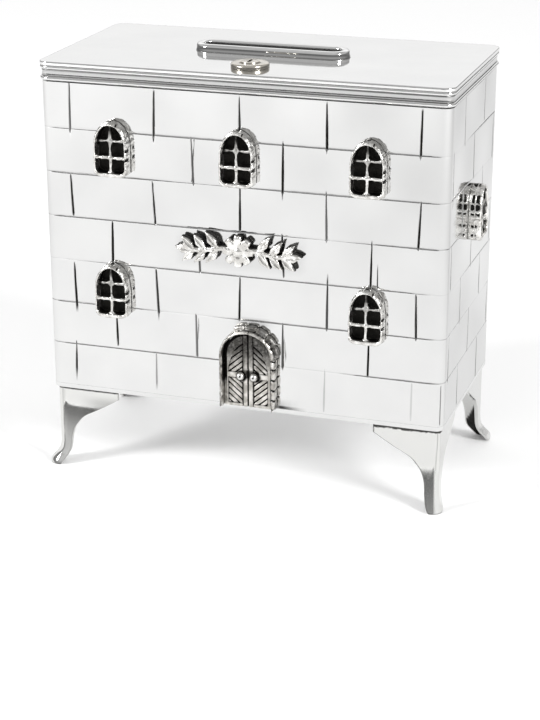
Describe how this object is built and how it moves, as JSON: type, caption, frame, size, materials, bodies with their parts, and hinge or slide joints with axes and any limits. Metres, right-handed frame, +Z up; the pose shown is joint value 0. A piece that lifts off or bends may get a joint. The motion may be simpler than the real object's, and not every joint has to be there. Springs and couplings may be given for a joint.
{
  "type": "charity box",
  "caption": "Silver charity box shaped as a small stone house, on bracket feet, with cast windows, a cast door, and a hinged lid with coin slot and lock.",
  "frame": {"origin": "on the floor, under the middle of the box", "axes": "+Z up, the front with the door faces -Y, +X to the viewer's right"},
  "size_m": [0.117, 0.062, 0.1158],
  "materials": {
    "polished_silver": "sterling silver, mirror polished, with blackened engraved joints",
    "cast_silver": "cast sterling silver, blackened in the recesses and polished on the high parts",
    "oxidised_silver": "cast sterling silver, oxidised dark grey and rubbed bright on the ridges",
    "lock_steel": "nickel plated steel"
  },
  "bodies": {
    "box": {"wall_shell": "polished_silver", "base_plate": "polished_silver", "foot_front_left": "polished_silver", "foot_front_right": "polished_silver", "foot_back_left": "polished_silver", "foot_back_right": "polished_silver", "window_upper_left": "cast_silver", "window_upper_middle": "cast_silver", "window_upper_right": "cast_silver", "window_lower_left": "cast_silver", "window_lower_right": "cast_silver", "window_side_right": "cast_silver", "window_side_left": "cast_silver", "window_back_left": "cast_silver", "window_back_middle": "cast_silver", "window_back_right": "cast_silver", "door_surround": "oxidised_silver", "door_leaves": "oxidised_silver", "door_knob_left": "polished_silver", "door_knob_right": "polished_silver", "olive_spray": "polished_silver", "hinge_box_leaf": "polished_silver", "hinge_pin": "polished_silver", "strike_bracket": "lock_steel"},
    "lid": {"lid_band": "polished_silver", "lid_plate": "polished_silver", "lid_flange": "polished_silver", "slot_collar": "polished_silver", "hinge_lid_leaf": "polished_silver", "lock_housing": "lock_steel", "lock_nut": "lock_steel"},
    "lock": {"lock_plug": "lock_steel", "lock_cam": "lock_steel", "cam_screw": "lock_steel"}
  },
  "joints": [
    {"name": "lid_hinge", "type": "hinge", "parent": "box", "child": "lid", "pos_m": [0, 0.0296, 0.10865], "axis": [-1, 0, 0], "range_deg": [0, 105]},
    {"name": "lock_turn", "type": "hinge", "parent": "lid", "child": "lock", "pos_m": [0, -0.0185, 0.1138], "axis": [0, 0, 1], "range_deg": [0, 90]}
  ]
}
